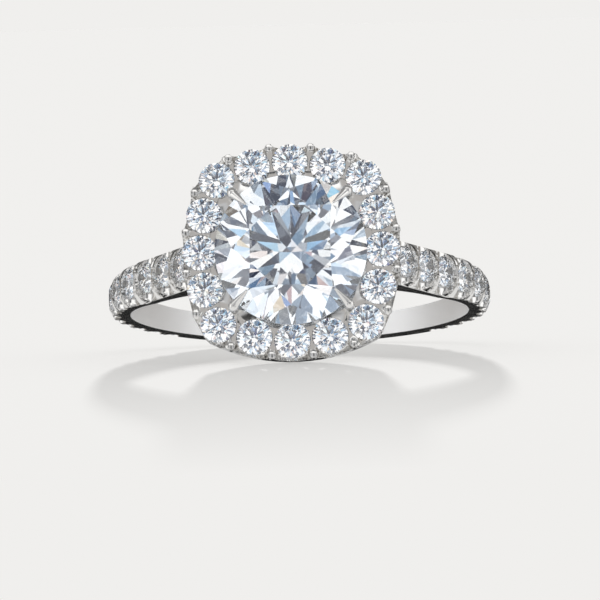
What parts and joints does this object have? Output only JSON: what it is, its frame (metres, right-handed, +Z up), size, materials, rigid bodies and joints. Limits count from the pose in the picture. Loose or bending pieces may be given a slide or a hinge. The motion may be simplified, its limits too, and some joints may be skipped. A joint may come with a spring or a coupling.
{
  "type": "halo ring",
  "caption": "Engagement ring with a round brilliant in a cushion-shaped halo of small brilliants, on a domed band set with stones between U-shaped cuts; it lies on its side.",
  "frame": {"origin": "middle of the bounding box's underside, on the surface the ring lies on", "axes": "+Z up; -Y towards the side the head faces, so that the head is in front and the back of the band behind; +X to the right seen from the front. The ring lies on its side and its finger axis leans 13.2 degrees from +Z towards +Y"},
  "size_m": [0.0186, 0.0222, 0.0104],
  "materials": {
    "white_metal": "polished white gold or platinum, fine satin inside the band",
    "brilliant": "clear colourless brilliant-cut stone, flat polished facets"
  },
  "bodies": {
    "root": {"ring_mount": "white_metal", "center_stone": "brilliant", "band_stones_left": "brilliant", "band_stones_right": "brilliant", "halo_stone_01": "brilliant", "halo_stone_02": "brilliant", "halo_stone_03": "brilliant", "halo_stone_04": "brilliant", "halo_stone_05": "brilliant", "halo_stone_06": "brilliant", "halo_stone_07": "brilliant", "halo_stone_08": "brilliant", "halo_stone_09": "brilliant", "halo_stone_10": "brilliant", "halo_stone_11": "brilliant", "halo_stone_12": "brilliant", "halo_stone_13": "brilliant", "halo_stone_14": "brilliant", "halo_stone_15": "brilliant", "halo_stone_16": "brilliant"}
  },
  "joints": []
}
